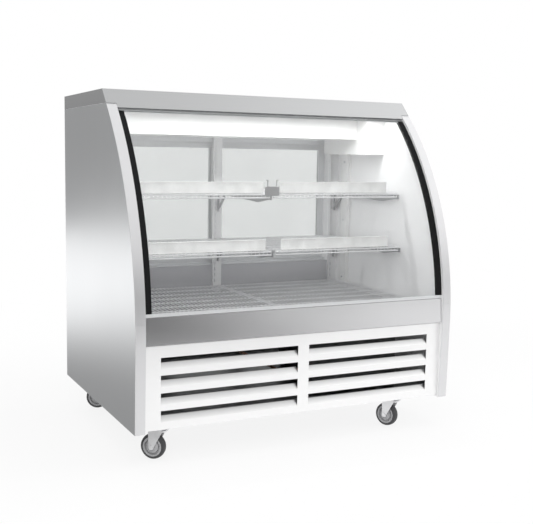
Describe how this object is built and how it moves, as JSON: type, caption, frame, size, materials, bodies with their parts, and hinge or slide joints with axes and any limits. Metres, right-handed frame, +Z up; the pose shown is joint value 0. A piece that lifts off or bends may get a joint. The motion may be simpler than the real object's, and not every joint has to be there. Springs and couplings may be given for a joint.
{
  "type": "refrigerated deli display case",
  "caption": "Stainless deli display case with a curved front glass, wire shelves, sliding rear doors, louvred front grille and swivel casters.",
  "frame": {"origin": "on the floor under the middle of the case", "axes": "+X to the right seen from the front, +Y from the glass front to the rear doors, +Z up"},
  "size_m": [1.27, 0.914, 1.266],
  "materials": {
    "stainless_panel": "fine brushed satin",
    "stainless_trim": "bright satin",
    "stainless_grille": "bright satin",
    "front_glass": "clear tempered",
    "door_glass": "clear tempered",
    "black_seal": "matt",
    "aluminium_profile": "satin anodised",
    "white_sheet": "satin white",
    "white_plastic": "semi-gloss white",
    "lamp_diffuser": "opal",
    "grey_steel": "satin",
    "wire_coating": "bright plated wire",
    "coil_fins": "mill finish",
    "black_plastic": "moulded",
    "motor_paint": "semi-gloss black",
    "galvanised": "galvanised",
    "copper": "drawn",
    "zinc_steel": "zinc plated",
    "tyre": "moulded rubber"
  },
  "bodies": {
    "case": {"base_pan": "galvanised", "base_rails": "galvanised", "caster_plates": "zinc_steel", "ceiling_panel": "white_sheet", "compressor": "motor_paint", "condenser_coil": "coil_fins", "condenser_shroud": "galvanised", "control_box": "galvanised", "cooler_coil": "coil_fins", "cooler_housing": "white_sheet", "deck_rack_left": "wire_coating", "deck_rack_right": "wire_coating", "door_header": "stainless_panel", "door_tracks": "aluminium_profile", "end_panel_left": "stainless_panel", "end_panel_right": "stainless_panel", "fan_motors": "motor_paint", "front_apron": "stainless_panel", "front_glass": "front_glass", "front_grille": "stainless_grille", "glass_channels": "aluminium_profile", "glass_gaskets": "black_seal", "lamp_housing": "white_sheet", "lamp_tube": "lamp_diffuser", "pipe_cover": "white_sheet", "price_channels": "white_plastic", "rear_posts": "stainless_panel", "rear_service_panel": "stainless_panel", "rear_wall": "stainless_panel", "refrigerant_lines": "copper", "shelf_brackets": "grey_steel", "shelf_lower_left": "wire_coating", "shelf_lower_right": "wire_coating", "shelf_standards": "grey_steel", "shelf_upper_left": "wire_coating", "shelf_upper_right": "wire_coating", "top_cap": "stainless_panel", "trim_lower_left": "stainless_trim", "trim_lower_right": "stainless_trim", "trim_upper_left": "stainless_trim", "trim_upper_right": "stainless_trim", "well_floor": "stainless_panel", "well_front_wall": "stainless_panel"},
    "door_left": {"door_left_frame": "aluminium_profile", "door_left_glass": "door_glass"},
    "door_right": {"door_right_frame": "aluminium_profile", "door_right_glass": "door_glass"},
    "caster_fork_front_left": {"caster_fork_front_left": "zinc_steel"},
    "caster_wheel_front_left": {"caster_wheel_front_left": "tyre"},
    "caster_fork_front_right": {"caster_fork_front_right": "zinc_steel"},
    "caster_wheel_front_right": {"caster_wheel_front_right": "tyre"},
    "caster_fork_rear_left": {"caster_fork_rear_left": "zinc_steel"},
    "caster_wheel_rear_left": {"caster_wheel_rear_left": "tyre"},
    "caster_fork_rear_right": {"caster_fork_rear_right": "zinc_steel"},
    "caster_wheel_rear_right": {"caster_wheel_rear_right": "tyre"},
    "cooler_fan_left": {"cooler_fan_left": "black_plastic"},
    "cooler_fan_right": {"cooler_fan_right": "black_plastic"},
    "condenser_fan": {"condenser_fan": "black_plastic"},
    "thermostat_knob": {"thermostat_knob": "black_plastic"},
    "lamp_switch": {"lamp_switch": "black_plastic"}
  },
  "joints": [
    {"name": "door_left_slide", "type": "slide", "parent": "case", "child": "door_left", "axis": [1, 0, 0], "range_m": [0, 0.505]},
    {"name": "door_right_slide", "type": "slide", "parent": "case", "child": "door_right", "axis": [1, 0, 0], "range_m": [-0.505, 0]},
    {"name": "caster_swivel_front_left", "type": "hinge", "parent": "case", "child": "caster_fork_front_left", "pos_m": [-0.522, -0.377, 0.116], "axis": [0, 0, 1], "continuous": true},
    {"name": "wheel_roll_front_left", "type": "hinge", "parent": "caster_fork_front_left", "child": "caster_wheel_front_left", "pos_m": [-0.53926, -0.36033, 0.0445], "axis": [0.6947, 0.7193, 0], "continuous": true},
    {"name": "caster_swivel_front_right", "type": "hinge", "parent": "case", "child": "caster_fork_front_right", "pos_m": [0.434, -0.377, 0.116], "axis": [0, 0, 1], "continuous": true},
    {"name": "wheel_roll_front_right", "type": "hinge", "parent": "caster_fork_front_right", "child": "caster_wheel_front_right", "pos_m": [0.42386, -0.35525, 0.0445], "axis": [0.9063, 0.4226, 0], "continuous": true},
    {"name": "caster_swivel_rear_left", "type": "hinge", "parent": "case", "child": "caster_fork_rear_left", "pos_m": [-0.522, 0.313, 0.116], "axis": [0, 0, 1], "continuous": true},
    {"name": "wheel_roll_rear_left", "type": "hinge", "parent": "caster_fork_rear_left", "child": "caster_wheel_rear_left", "pos_m": [-0.54278, 0.325, 0.0445], "axis": [0.5, 0.866, 0], "continuous": true},
    {"name": "caster_swivel_rear_right", "type": "hinge", "parent": "case", "child": "caster_fork_rear_right", "pos_m": [0.434, 0.313, 0.116], "axis": [0, 0, 1], "continuous": true},
    {"name": "wheel_roll_rear_right", "type": "hinge", "parent": "caster_fork_rear_right", "child": "caster_wheel_rear_right", "pos_m": [0.42779, 0.33618, 0.0445], "axis": [0.9659, 0.2588, 0], "continuous": true},
    {"name": "cooler_fan_left_spin", "type": "hinge", "parent": "case", "child": "cooler_fan_left", "pos_m": [-0.2735, 0.143, 1.152], "axis": [0, 0, 1], "continuous": true},
    {"name": "cooler_fan_right_spin", "type": "hinge", "parent": "case", "child": "cooler_fan_right", "pos_m": [0.1865, 0.143, 1.152], "axis": [0, 0, 1], "continuous": true},
    {"name": "condenser_fan_spin", "type": "hinge", "parent": "case", "child": "condenser_fan", "pos_m": [0.25, -0.307, 0.267], "axis": [0, 1, 0], "continuous": true},
    {"name": "thermostat_turn", "type": "hinge", "parent": "case", "child": "thermostat_knob", "pos_m": [-0.35, 0.445, 0.341], "axis": [0, -1, 0], "range_deg": [0, 300]},
    {"name": "lamp_switch_rock", "type": "hinge", "parent": "case", "child": "lamp_switch", "pos_m": [-0.41, 0.439, 0.341], "axis": [1, 0, 0], "range_deg": [0, 20]}
  ]
}
